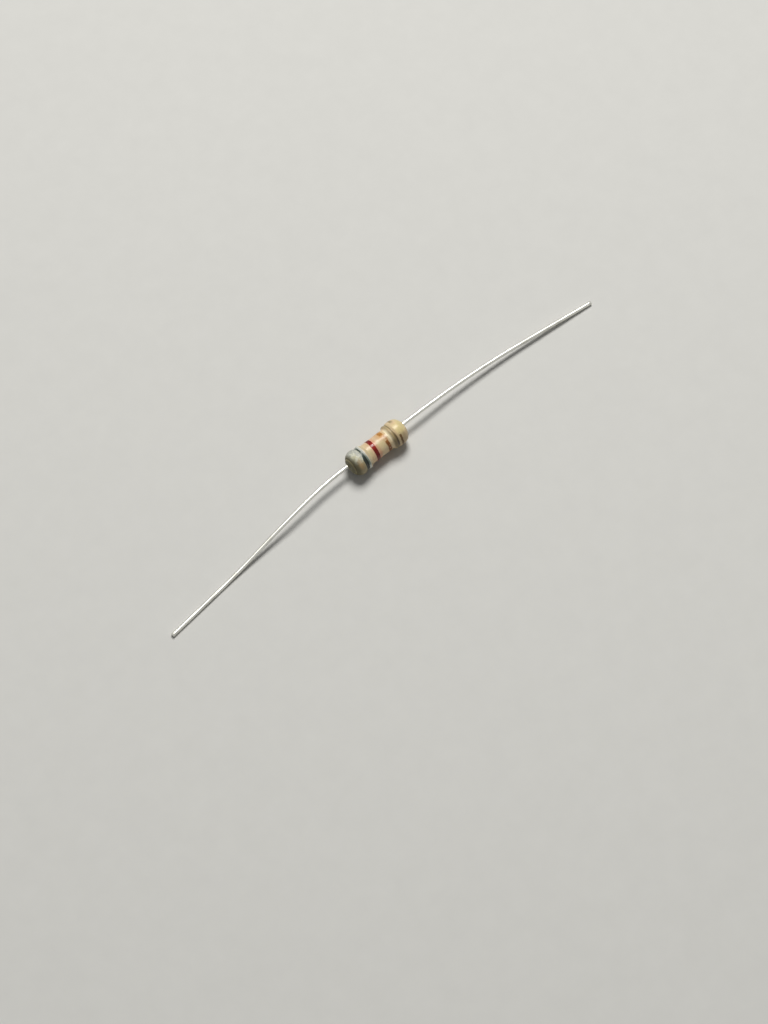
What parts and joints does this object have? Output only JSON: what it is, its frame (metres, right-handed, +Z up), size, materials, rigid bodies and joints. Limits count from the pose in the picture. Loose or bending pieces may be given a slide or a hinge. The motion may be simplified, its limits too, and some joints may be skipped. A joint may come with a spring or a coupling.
{
  "type": "axial resistor",
  "caption": "Small lacquered cylinder, waisted between domed ends, with worn colour rings and a long thin wire lead leaving each end just off its middle.",
  "frame": {"origin": "on the surface that the part lies on, straight below the middle of the lacquered body", "axes": "+X along the body's axis towards the gold-brown ring, +Z up from the surface, +Y towards the back, away from the side that the leads bend to"},
  "size_m": [0.0683, 0.0046, 0.0034],
  "materials": {
    "lacquer": "aged tan lacquer, semi-gloss, grey smears on the left dome",
    "paint_grey": "dark blue-grey paint, patchy",
    "paint_red": "deep red paint, glossy",
    "paint_orange": "orange-brown paint, worn to patches",
    "paint_gold": "gold-brown paint, faded to faint patches",
    "tinned_wire": "bright tinned wire",
    "cap_steel": "pressed tinned steel",
    "ceramic": "matt fired ceramic",
    "carbon": "dull black film"
  },
  "bodies": {
    "root": {"ceramic_core": "ceramic", "carbon_film": "carbon", "left_cap": "cap_steel", "right_cap": "cap_steel", "left_lead": "tinned_wire", "right_lead": "tinned_wire", "coating": "lacquer", "band_1": "paint_grey", "band_2": "paint_red", "band_3": "paint_orange", "band_4": "paint_gold"}
  },
  "joints": []
}
